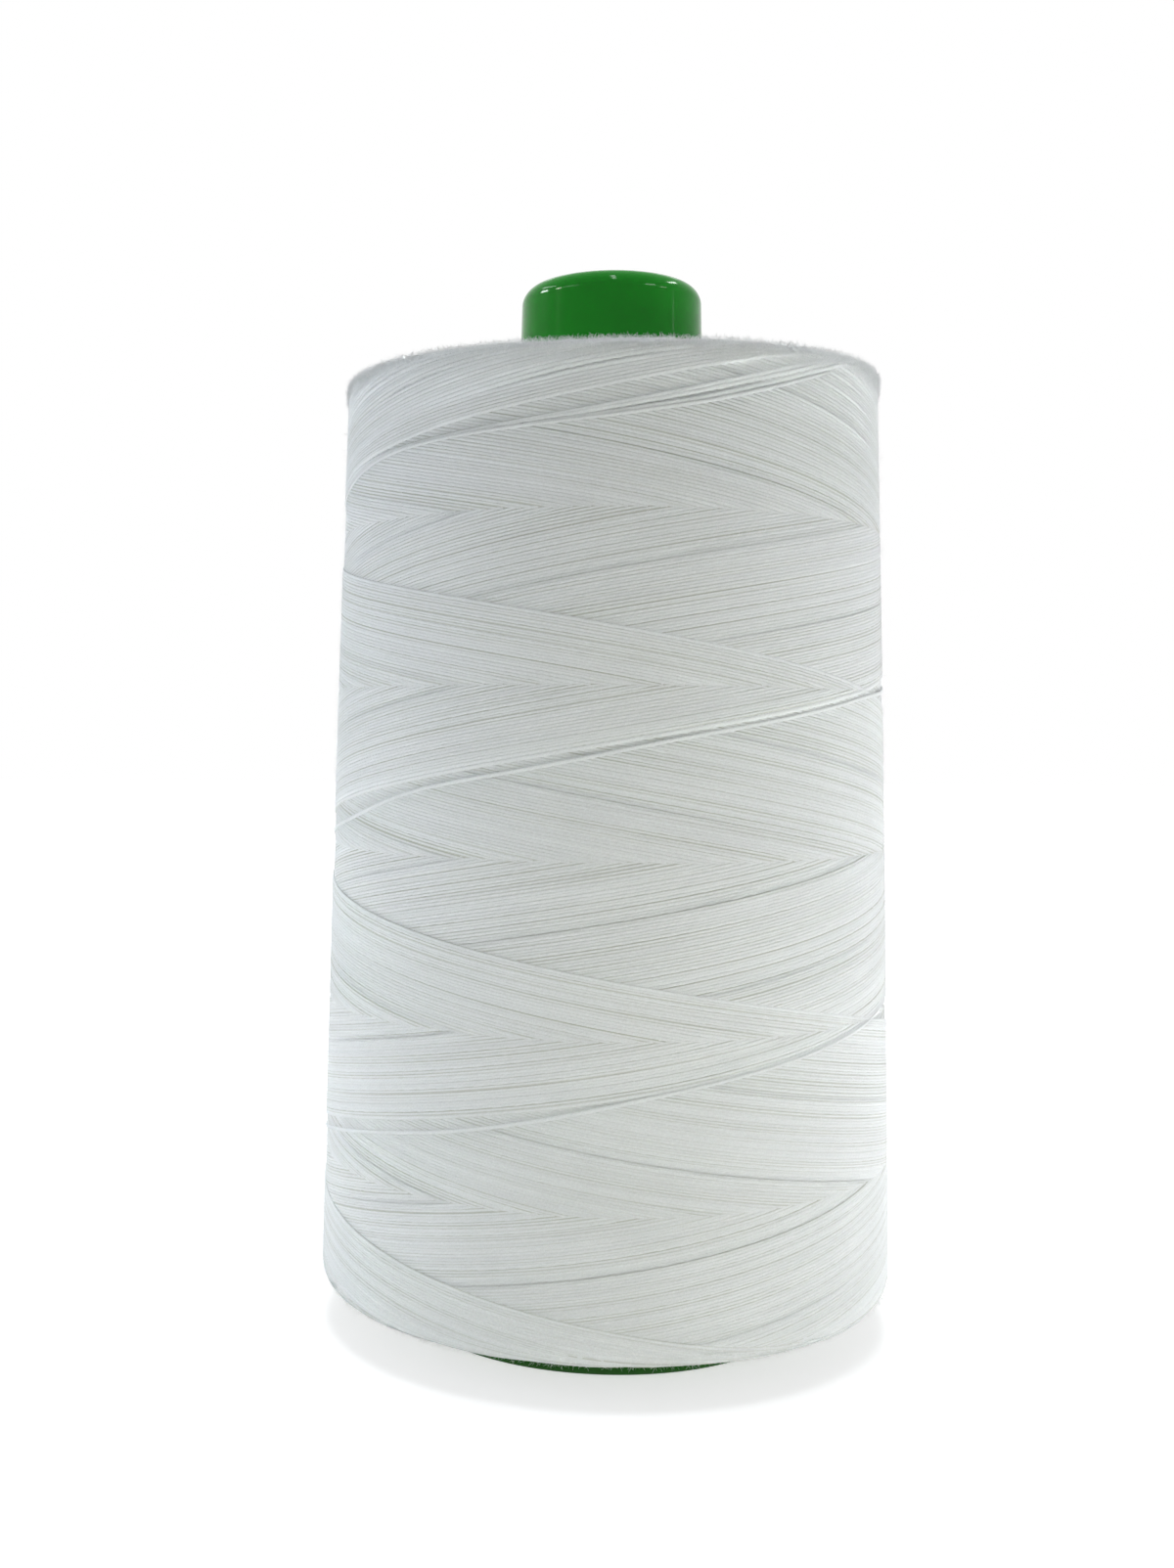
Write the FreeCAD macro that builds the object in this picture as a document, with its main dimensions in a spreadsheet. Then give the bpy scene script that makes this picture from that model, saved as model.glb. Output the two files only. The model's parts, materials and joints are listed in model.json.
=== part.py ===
import FreeCAD, Part
import Sketcher
import math
import os

# A cone of sewing thread: a moulded hollow cone with a rounded nose, the thread
# wound on it in crossing layers, and the last wrap of that thread lying on top.
# Millimetres, +Z up along the cone's axis, origin at the centre of the foot's underside.

SIZES = [
    # The moulded cone
    ("cone_height", 170.0),
    ("base_radius", 30.9),
    ("wall", 1.8),
    # The foot, its tail groove and the notch that holds the first end of the thread
    ("foot_rim", 1.2),
    ("foot_height", 2.8),
    ("foot_bevel", 0.5),
    ("tail_groove_width", 1.2),
    ("tail_groove_depth", 0.5),
    ("notch_width", 1.2),
    ("notch_depth", 2.0),
    # The nose and the lip round its hole
    ("nose_length", 19.8),
    ("nose_radius", 15.25),
    ("nose_draft", 1.24),
    ("nose_round", 3.0),
    ("lip_reach", 5.75),
    ("lip_length", 7.0),
    ("lip_bevel", 1.2),
    # The grip ribs inside the cone
    ("rib_count", 6),
    ("rib_depth", 1.2),
    ("rib_width", 1.6),
    ("rib_start", 14.0),
    ("rib_end_gap", 4.0),
    # The wound thread
    ("package_base_radius", 46.85),
    ("package_top_radius", 42.9),
    ("winding_gap", 0.3),
    ("bottom_round", 5.0),
    ("top_round", 3.5),
    ("round_share", 0.29),
    # The last wrap
    ("thread_diameter", 0.45),
    ("wrap_pitch", 50.4),
    ("wrap_lift", 2.0),
    ("wrap_front_height", 43.9),
    ("seat_gap", 0.02),
    # Worked out from the sizes above
    ("foot_radius", "=base_radius + foot_rim"),
    ("bore_radius", "=nose_radius - lip_reach"),
    ("nose_foot_height", "=cone_height - nose_length"),
    ("cone_slope", "=(base_radius - nose_radius) / nose_foot_height"),
    ("nose_top_radius", "=nose_radius - nose_length * tan(nose_draft * 1 deg)"),
    ("groove_top", "=foot_height + tail_groove_width"),
    ("groove_top_radius", "=base_radius - groove_top * cone_slope"),
    ("groove_radius", "=groove_top_radius - tail_groove_depth"),
    ("winding_start", "=groove_top + winding_gap"),
    ("seat_radius", "=base_radius - winding_start * cone_slope"),
    ("package_bottom", "=winding_start + (package_base_radius - seat_radius) * cone_slope"),
    ("package_top", "=nose_foot_height + (package_top_radius - nose_radius) * cone_slope"),
    ("side_slope", "=(package_base_radius - package_top_radius) / (package_top - package_bottom)"),
    ("wrap_start", "=package_bottom + bottom_round + wrap_lift"),
    ("wrap_end", "=package_top - top_round - wrap_lift"),
    ("wrap_offset", "=(thread_diameter / 2 + seat_gap) / cos(atan(side_slope))"),
    ("wrap_radius", "=package_base_radius - (wrap_start - package_bottom) * side_slope + wrap_offset"),
]


def write_sizes(doc):
    """The sheet that holds every driving size, one aliased cell each."""
    sheet = doc.addObject("Spreadsheet::Sheet", "Sizes")
    for row, (name, value) in enumerate(SIZES, start=1):
        sheet.set("A%d" % row, name)
        sheet.set("B%d" % row, str(value))
        sheet.setAlias("B%d" % row, name)
    doc.recompute()
    return sheet


def size(name):
    """The expression that reads one size."""
    return "Sizes." + name


def origin_item(body, role):
    """One of the body's own origin planes or axes."""
    for item in body.Origin.OriginFeatures:
        if item.Role == role:
            return item
    raise RuntimeError("no origin item " + role)


def new_body(doc, label):
    """An empty body with the label that names its file."""
    body = doc.addObject("PartDesign::Body", label)
    body.Label = label
    body.Placement = FreeCAD.Placement()
    return body


def new_sketch(body, name, role):
    """A sketch on one of the body's origin planes."""
    sketch = body.newObject("Sketcher::SketchObject", name)
    sketch.AttachmentSupport = [(origin_item(body, role), "")]
    sketch.MapMode = "FlatFace"
    return sketch


def bind(sketch, constraint, expression):
    """A constraint whose size is tied to the sheet."""
    index = sketch.addConstraint(constraint)
    sketch.setExpression("Constraints[%d]" % index, expression)


def value_of(sheet, expression):
    """The present value of a corner's expression."""
    return float(sheet.evalExpression(expression.replace("Sizes.", "")))


def pin_corner(sketch, geometry, spot, across, up):
    """A corner's distances from the origin, tied to the sheet."""
    bind(sketch, Sketcher.Constraint("DistanceX", -1, 1, geometry, 1, spot.x), across)
    if up == "0":
        sketch.addConstraint(Sketcher.Constraint("PointOnObject", geometry, 1, -1))
    else:
        bind(sketch, Sketcher.Constraint("DistanceY", -1, 1, geometry, 1, spot.y), up)


def round_corner(sketch, before, after, spot, last, following, radius):
    """The arc that rounds a corner between two sides, and the construction point left at the corner."""
    way_in = (spot - last).normalize()
    way_out = (following - spot).normalize()
    turn = way_in.getAngle(way_out)
    left = way_in.cross(way_out).z > 0
    reach = radius * math.tan(turn / 2)
    start = spot - way_in * reach
    inward = FreeCAD.Vector(-way_in.y, way_in.x, 0) * (radius if left else -radius)
    centre = start + inward
    first, second = (start, spot + way_out * reach) if left else (spot + way_out * reach, start)
    angles = [math.atan2(point.y - centre.y, point.x - centre.x) for point in (first, second)]
    if angles[1] < angles[0]:
        angles[1] += 2 * math.pi
    circle = Part.Circle(centre, FreeCAD.Vector(0, 0, 1), radius)
    arc = sketch.addGeometry(Part.ArcOfCircle(circle, angles[0], angles[1]), False)
    arc_in, arc_out = (1, 2) if left else (2, 1)
    sketch.addConstraint(Sketcher.Constraint("Tangent", before, 2, arc, arc_in))
    sketch.addConstraint(Sketcher.Constraint("Tangent", arc, arc_out, after, 1))
    corner = sketch.addGeometry(Part.Point(spot), True)
    sketch.addConstraint(Sketcher.Constraint("PointOnObject", corner, 1, before))
    sketch.addConstraint(Sketcher.Constraint("PointOnObject", corner, 1, after))
    return arc, corner


def draw_outline(sketch, sheet, corners):
    """A closed outline: each corner is (across, up), or (across, up, rounding), tied to the sheet."""
    spots = [FreeCAD.Vector(value_of(sheet, item[0]), value_of(sheet, item[1]), 0) for item in corners]
    total = len(corners)
    for number in range(total):
        sketch.addGeometry(Part.LineSegment(spots[number], spots[(number + 1) % total]), False)
    for number, item in enumerate(corners):
        before = (number - 1) % total
        if len(item) == 3:
            following = spots[(number + 1) % total]
            radius = value_of(sheet, item[2])
            arc, corner = round_corner(
                sketch, before, number, spots[number], spots[before], following, radius
            )
            bind(sketch, Sketcher.Constraint("Radius", arc, radius), item[2])
            pin_corner(sketch, corner, spots[number], item[0], item[1])
        else:
            sketch.addConstraint(Sketcher.Constraint("Coincident", before, 2, number, 1))
            pin_corner(sketch, number, spots[number], item[0], item[1])


def revolve(body, name, sketch):
    """A full turn of the outline about the cone's axis."""
    feature = body.newObject("PartDesign::Revolution", name)
    feature.Profile = sketch
    feature.ReferenceAxis = (sketch, ["V_Axis"])
    feature.Angle = 360.0
    return feature


def build_cone(doc, sheet):
    """The hollow cone: tapered wall, foot rim, tail groove, straight nose and turned-in lip."""
    body = new_body(doc, "core_cone")
    sketch = new_sketch(body, "ConeSection", "XZ_Plane")
    lip_foot = "Sizes.cone_height - Sizes.lip_length"
    draw_outline(sketch, sheet, [
        ("Sizes.base_radius - Sizes.wall", "0"),
        ("Sizes.foot_radius - Sizes.foot_bevel", "0"),
        ("Sizes.foot_radius", "Sizes.foot_bevel"),
        ("Sizes.foot_radius", "Sizes.foot_height"),
        ("Sizes.groove_radius", "Sizes.foot_height"),
        ("Sizes.groove_radius", "Sizes.groove_top"),
        ("Sizes.groove_top_radius", "Sizes.groove_top"),
        ("Sizes.nose_radius", "Sizes.nose_foot_height"),
        ("Sizes.nose_top_radius", "Sizes.cone_height", "Sizes.nose_round"),
        ("Sizes.bore_radius + Sizes.lip_bevel", "Sizes.cone_height"),
        ("Sizes.bore_radius", "Sizes.cone_height - Sizes.lip_bevel"),
        ("Sizes.bore_radius", lip_foot),
        ("Sizes.nose_top_radius - Sizes.wall", lip_foot),
        ("Sizes.nose_radius - Sizes.wall", "Sizes.nose_foot_height"),
    ])
    revolve(body, "ConeWall", sketch)
    doc.recompute()
    cut_notch(doc, body, sheet)
    add_ribs(doc, body, sheet)
    return body


def cut_notch(doc, body, sheet):
    """The slot in the foot's back edge that holds the thread's first end."""
    before = body.Shape.Volume
    sketch = new_sketch(body, "NotchOutline", "XY_Plane")
    side = "Sizes.notch_width / 2"
    inner = "Sizes.foot_radius - Sizes.notch_depth"
    outer = "Sizes.foot_radius + Sizes.notch_depth"
    draw_outline(sketch, sheet, [("-" + side, inner), (side, inner), (side, outer), ("-" + side, outer)])
    pocket = body.newObject("PartDesign::Pocket", "TailNotch")
    pocket.Profile = sketch
    pocket.Reversed = True
    pocket.setExpression("Length", "Sizes.foot_height")
    doc.recompute()
    if body.Shape.Volume >= before:
        raise RuntimeError("the notch cuts nothing")


def add_ribs(doc, body, sheet):
    """Slim ribs along the inside of the tapered wall, evenly spaced round it."""
    before = body.Shape.Volume
    low = "Sizes.rib_start"
    high = "Sizes.nose_foot_height - Sizes.rib_end_gap"
    ramp = " + Sizes.rib_depth"
    in_wall = "Sizes.base_radius - Sizes.wall / 2 - (%s) * Sizes.cone_slope"
    in_hollow = "Sizes.base_radius - Sizes.wall - Sizes.rib_depth - (%s) * Sizes.cone_slope"
    sketch = new_sketch(body, "RibSection", "XZ_Plane")
    draw_outline(sketch, sheet, [
        (in_wall % low, low),
        (in_hollow % (low + ramp), low + ramp),
        (in_hollow % high, high),
        (in_wall % (high + ramp), high + ramp),
    ])
    pad = body.newObject("PartDesign::Pad", "Rib")
    pad.Profile = sketch
    pad.Midplane = True
    pad.setExpression("Length", size("rib_width"))
    doc.recompute()
    pattern = body.newObject("PartDesign::PolarPattern", "Ribs")
    pattern.Originals = [pad]
    pattern.Axis = (sketch, ["V_Axis"])
    pattern.Angle = 360.0
    pattern.setExpression("Occurrences", size("rib_count"))
    body.Tip = pattern
    doc.recompute()
    if body.Shape.Volume <= before:
        raise RuntimeError("the ribs add nothing")


def shoulder(radius, height, round_size, up):
    """One shoulder's corners, from end face to side: two flats that meet at the round's middle."""
    down = "-" if up == "+" else "+"
    return [
        (f"{radius} - {round_size}", f"{height} - {round_size} * Sizes.cone_slope"),
        (f"{radius} - {round_size} * Sizes.round_share", f"{height} {up} {round_size} * Sizes.round_share"),
        (f"{radius} {down} {round_size} * Sizes.side_slope", f"{height} {up} {round_size}"),
    ]


def build_winding(doc, sheet):
    """The wound thread: seated on the taper, with end faces square to the cone's wall."""
    body = new_body(doc, "thread_winding")
    sketch = new_sketch(body, "WindingSection", "XZ_Plane")
    draw_outline(
        sketch,
        sheet,
        [("Sizes.seat_radius", "Sizes.winding_start")]
        + shoulder("Sizes.package_base_radius", "Sizes.package_bottom", "Sizes.bottom_round", "+")
        + shoulder("Sizes.package_top_radius", "Sizes.package_top", "Sizes.top_round", "-")[::-1]
        + [("Sizes.nose_radius", "Sizes.nose_foot_height")],
    )
    revolve(body, "Winding", sketch)
    doc.recompute()
    return body


def build_last_wrap(doc, sheet):
    """The last wrap: one thread climbing the outside of the winding on a tapering helix."""
    path = doc.addObject("Part::Helix", "WrapPath")
    path.setExpression("Pitch", size("wrap_pitch"))
    path.setExpression("Height", "Sizes.wrap_end - Sizes.wrap_start")
    path.setExpression("Radius", size("wrap_radius"))
    path.setExpression("Angle", "-atan(Sizes.side_slope)")
    section = doc.addObject("Part::RegularPolygon", "WrapSection")
    section.Polygon = 4
    section.setExpression("Circumradius", "Sizes.thread_diameter / 2")
    section.setExpression("Placement.Base.x", size("wrap_radius"))
    climb = math.degrees(math.atan(sheet.wrap_pitch / (2 * math.pi * sheet.wrap_radius)))
    section.Placement.Rotation = FreeCAD.Rotation(FreeCAD.Vector(1, 0, 0), climb - 90)
    doc.recompute()
    wrap = doc.addObject("Part::Sweep", "last_wrap")
    wrap.Label = "last_wrap"
    wrap.Sections = [section]
    wrap.Spine = (path, ["Edge%d" % number for number in range(1, len(path.Shape.Edges) + 1)])
    wrap.Solid = True
    wrap.Frenet = True
    # The wrap passes the middle of the front, which faces -Y, at wrap_front_height.
    turn = 360 * (sheet.wrap_start - sheet.wrap_front_height) / sheet.wrap_pitch - 90
    spot = FreeCAD.Vector(0, 0, sheet.wrap_start)
    wrap.Placement = FreeCAD.Placement(spot, FreeCAD.Rotation(FreeCAD.Vector(0, 0, 1), turn))
    doc.recompute()
    return wrap


def check(doc, parts):
    """Stops on a failed feature, a null or invalid shape, or pieces with the wrong number of solids."""
    for item in doc.Objects:
        for word in ("Invalid", "Error"):
            if word in item.State:
                raise RuntimeError(item.Name + " is " + word)
    for part in parts:
        if part.Shape.isNull() or not part.Shape.isValid():
            raise RuntimeError(part.Label + " has a bad shape")
        if len(part.Shape.Solids) != 1:
            raise RuntimeError(part.Label + " isn't one solid")


def main():
    doc = FreeCAD.newDocument("ThreadCone")
    sheet = write_sizes(doc)
    parts = [build_cone(doc, sheet), build_winding(doc, sheet), build_last_wrap(doc, sheet)]
    doc.recompute()
    check(doc, parts)
    os.makedirs("parts", exist_ok=True)
    for part in parts:
        box = part.Shape.BoundBox
        print(
            "%-16s volume %10.1f  z %.2f to %.2f  radius %.2f"
            % (part.Label, part.Shape.Volume, box.ZMin, box.ZMax, box.XMax)
        )
        part.Shape.exportStep("parts/" + part.Label + ".step")


main()
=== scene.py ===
import json
import math

import bmesh
import bpy
from bpy.props import FloatProperty, FloatVectorProperty, IntProperty, PointerProperty
from mathutils import Matrix, Vector


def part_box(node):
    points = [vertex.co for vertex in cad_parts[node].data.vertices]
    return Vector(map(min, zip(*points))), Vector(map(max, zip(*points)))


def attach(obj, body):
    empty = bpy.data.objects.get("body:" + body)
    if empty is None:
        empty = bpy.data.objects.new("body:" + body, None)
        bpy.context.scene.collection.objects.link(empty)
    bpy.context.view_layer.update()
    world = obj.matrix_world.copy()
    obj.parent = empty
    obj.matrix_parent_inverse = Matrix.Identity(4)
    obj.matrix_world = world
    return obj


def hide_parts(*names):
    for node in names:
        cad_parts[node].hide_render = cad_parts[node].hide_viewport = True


bl_info = {
    "name": "Cross-wound thread cone",
    "version": (1, 0, 0),
    "blender": (4, 5, 0),
    "location": "3D View > Sidebar > Thread Cone",
    "description": "A moulded cone of sewing thread, wound turn by turn",
    "category": "Object",
}

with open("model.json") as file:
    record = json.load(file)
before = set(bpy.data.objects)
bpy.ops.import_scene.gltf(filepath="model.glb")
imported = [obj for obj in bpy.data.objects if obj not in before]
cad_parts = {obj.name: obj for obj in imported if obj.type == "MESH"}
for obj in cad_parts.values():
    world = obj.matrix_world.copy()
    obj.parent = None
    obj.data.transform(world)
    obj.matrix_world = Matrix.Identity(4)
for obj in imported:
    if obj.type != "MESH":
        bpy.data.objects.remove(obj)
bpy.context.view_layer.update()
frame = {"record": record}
MM = 0.001
TURN = 2 * math.pi
CONE_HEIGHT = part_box("core_cone")[1].z
FOOT_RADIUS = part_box("core_cone")[1].x
WINDING_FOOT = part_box("thread_winding")[0].z
MOUNTS = {mount["name"]: mount for mount in frame["record"]["mounts"]}
BORE_RADIUS = MOUNTS["spindle_hole"]["dims"]["r_mm"] * MM

# The winding's upper edge isn't level: it tilts and bends by these, more and more from RIM_START up.
RIM_TILT = 0.6 * MM
RIM_SADDLE = 0.6 * MM
RIM_START = 138 * MM
RIM_SPAN = 14 * MM


def length(name, about, millimetres):
    """A size that the user may change; its default is given in millimetres."""
    return FloatProperty(
        name=name, description=about, default=millimetres * MM, unit="LENGTH", subtype="DISTANCE", precision=5
    )


def share(name, about, default):
    """A plain number that the user may change."""
    return FloatProperty(name=name, description=about, default=default, precision=4)


def count(name, about, default):
    """A whole number that the user may change."""
    return IntProperty(name=name, description=about, default=default, min=1)


def angle(name, about, default):
    """An angle that the user may change, in radians."""
    return FloatProperty(name=name, description=about, default=default, unit="ROTATION", precision=4)


def colour(name, about, default):
    """A colour that the user may change, in linear light."""
    return FloatVectorProperty(
        name=name, description=about, default=default, size=3, min=0.0, max=1.0, subtype="COLOR"
    )


# Sizes of the moulded core


class ConeSizes(bpy.types.PropertyGroup):
    """The moulded plastic cone."""

    base_radius: length("Base radius", "Outer radius of the wall at the foot", 30.9)
    wall: length("Wall", "Thickness of the moulded wall", 1.8)
    foot_height: length("Foot height", "Height of the rim round the foot", 2.8)
    foot_bevel: length("Foot bevel", "Rounding of the foot's edges", 0.5)
    groove_width: length("Groove width", "Height of the groove for the thread's tail", 1.2)
    groove_depth: length("Groove depth", "Depth of the groove for the thread's tail", 0.5)
    notch_width: length("Notch width", "Width of the slot that holds the tail", 1.2)
    notch_depth: length("Notch depth", "How far the slot cuts into the foot", 2.0)
    nose_length: length("Nose length", "Height of the straight nose", 19.8)
    nose_radius: length("Nose radius", "Radius at the foot of the nose", 15.25)
    nose_top_radius: length("Nose top radius", "Radius at the top of the nose, before its rounding", 14.82)
    nose_round: length("Nose rounding", "Radius of the nose's rounded edge", 3.0)
    lip_length: length("Lip length", "Depth of the turned-in lip round the hole", 7.0)
    lip_bevel: length("Lip bevel", "Rounding of the hole's edge", 1.2)
    rib_count: count("Ribs", "Grip ribs inside the wall", 6)
    rib_depth: length("Rib depth", "How far a rib stands out of the wall", 1.2)
    rib_width: length("Rib width", "Width of a rib", 1.6)
    rib_start: length("Rib start", "Height of a rib's lower end", 14.0)
    rib_end_gap: length("Rib end gap", "From a rib's upper end to the nose", 4.0)
    steps: count("Steps", "Facets round the cone", 192)
    plastic: colour("Plastic", "Colour of the moulded plastic", (0.003, 0.300, 0.008))
    # Painted shade: a dark green that the foot is coloured towards its bottom edge.
    foot_shade_colour: colour("Foot shade", "Colour of the dirt along the foot", (0.035, 0.060, 0.025))


# Sizes of the wound thread


class ThreadSizes(bpy.types.PropertyGroup):
    """The thread and the rule it is wound by."""

    width: length("Thread width", "Width of the thread as it lies", 0.70)
    thickness: length("Thread thickness", "Height of the thread as it lies", 0.35)
    layer: length("Layer height", "How much one layer adds to the radius", 0.20)
    base_radius: length("Package base radius", "Radius of the winding at its foot", 47.2)
    top_radius: length("Package top radius", "Radius of the winding at its top", 43.5)
    base_height: length("Package base height", "Height of the lower edge of the winding", 5.6)
    top_height: length("Package top height", "Height of the upper edge of the winding", 153.0)
    crown: length("Crown", "How far the side bulges at mid height", 0.26)
    base_round: length("Base rounding", "Radius of the lower shoulder", 3.8)
    top_round: length("Top rounding", "Radius of the upper shoulder", 1.4)
    low_turn: length("Lower turning point", "Height where the thread turns up again", 6.4)
    high_turn: length("Upper turning point", "Height where the thread turns down again", 152.9)
    bias: share("Bias", "How much wider the pitch is at the top than at the foot", 0.0405)
    top_dip: share("Top dip", "How much lower the upper quarter runs, as a share of the stroke", 0.0085)
    ease: share("Ease", "Share of a stroke over which the thread turns round", 0.04)
    turns: count("Turns", "Turns round the cone in one double stroke", 6)
    strokes: count("Double strokes", "Double strokes that close one layer", 106)
    start: share("Start", "Where the newest double stroke begins, in turns from the front", 0.156)
    wander: length("Wander", "How far a thread strays from its path", 0.05)
    gap: length("Gap", "Widest gap between two groups of threads", 0.34)
    group: share("Group", "Threads that lie close together", 4.7)
    end_scatter: length("End scatter", "How far the turning points differ", 0.45)
    slip: length("Slip", "How far the newest threads slipped down below the upper edge", 5.4)
    stray: length("Stray", "How far the last wrap lies from its neighbours", 1.8)
    steps: count("Steps", "Points of a thread on one turn", 90)
    parts: count("Parts", "Pieces that the outer winding is divided into", 4)
    yarn: colour("Thread", "Colour of the thread's rounded side", (0.825, 0.850, 0.850))
    furrow: colour("Furrow", "Colour between two threads, where one shades the other", (0.520, 0.535, 0.475))


# Sizes of the studio


class StudioSizes(bpy.types.PropertyGroup):
    """The camera, floor and lamps."""

    camera_left: length("Camera left", "How far the camera stands to the left of the cone", 29.06)
    camera_back: length("Camera back", "How far the camera stands in front of the cone", 281.32)
    camera_height: length("Camera height", "Height of the camera", 96.31)
    tilt: angle("Tilt", "How far the camera looks down", 0.0302)
    turn: angle("Turn", "How far the camera looks to the right", 0.0332)
    roll: angle("Roll", "How far the camera leans", 0.0076)
    lens: share("Lens", "Focal length in millimetres on a 36 mm frame", 38.68)
    shift: share("Shift", "Sideways shift of the frame", 0.0624)
    floor: colour("Floor", "Colour of the floor", (0.80, 0.80, 0.80))


# Node trees written as formulas


def method(operation, swapped=False):
    """A method of Value that adds a math node; swapped puts the other term first."""

    def apply(self, *others):
        terms = (*others, self) if swapped else (self, *others)
        return self.writer.math(operation, *terms)

    return apply


class Value:
    """A node's output that arithmetic can be written with."""

    def __init__(self, writer, socket):
        self.writer = writer
        self.socket = socket

    __add__ = method("ADD")
    __radd__ = method("ADD", swapped=True)
    __sub__ = method("SUBTRACT")
    __rsub__ = method("SUBTRACT", swapped=True)
    __mul__ = method("MULTIPLY")
    __rmul__ = method("MULTIPLY", swapped=True)
    __truediv__ = method("DIVIDE")
    __rtruediv__ = method("DIVIDE", swapped=True)
    at_least = method("MAXIMUM")
    at_most = method("MINIMUM")
    floor = method("FLOOR")
    fract = method("FRACT")
    sine = method("SINE")
    cosine = method("COSINE")

    def __neg__(self):
        return self * -1.0

    def squared(self):
        return self * self

    def below(self, other):
        """1 where this is less than the other, else 0."""
        return self.writer.math("LESS_THAN", self, other)

    def choose(self, yes, no):
        """One of two values, by this being 1 or 0."""
        return (yes - no) * self + no

    def between(self, start, end):
        """0 before the start, 1 after the end, with a smooth rise between them."""
        return self.writer.out(
            "ShaderNodeMapRange", {0: self, 1: start, 2: end}, interpolation_type="SMOOTHSTEP"
        )

    def window(self, start, full, fade, end):
        """Rises from 0 to 1 between the first two values and falls back between the last two."""
        return self.between(start, full) * self.between(end, fade)


class Writer:
    """Adds nodes to a tree, and lays them out in rows."""

    def __init__(self, tree):
        self.tree = tree
        self.made = 0

    def feed(self, socket, value):
        """Links an output to the socket, or sets the socket's own value."""
        if isinstance(value, Value):
            self.tree.links.new(value.socket, socket)
        else:
            socket.default_value = value

    def node(self, kind, inputs=None, **settings):
        """A node with its settings, and its inputs by name or number."""
        made = self.tree.nodes.new(kind)
        for name, setting in settings.items():
            setattr(made, name, setting)
        for key, value in (inputs or {}).items():
            self.feed(made.inputs[key], value)
        made.location = (200 * (self.made // 10), -180 * (self.made % 10))
        self.made += 1
        return made

    def out(self, kind, inputs=None, output=0, **settings):
        """A new node's output, ready for arithmetic."""
        return Value(self, self.node(kind, inputs, **settings).outputs[output])

    def math(self, operation, *terms):
        return self.out("ShaderNodeMath", dict(enumerate(terms)), operation=operation)

    def xyz(self, across, deep, up):
        return self.out("ShaderNodeCombineXYZ", {0: across, 1: deep, 2: up})

    def split(self, vector):
        """The three parts of a vector."""
        parts = self.node("ShaderNodeSeparateXYZ", {0: vector})
        return [Value(self, socket) for socket in parts.outputs]

    def random(self, number, seed):
        """A random value from -1 to 1 that belongs to a number."""
        spot = self.xyz(number, seed, 0.5)
        return self.out("ShaderNodeTexWhiteNoise", {0: spot}, noise_dimensions="3D") * 2.0 - 1.0

    def drift(self, across, along, seed):
        """A smooth random value, from about -1 to 1, that changes over a length of 1."""
        spot = self.xyz(across, along, seed)
        return self.out("ShaderNodeTexNoise", {"Vector": spot, "Scale": 1.0, "Detail": 0.0}) * 3.0 - 1.5


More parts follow.
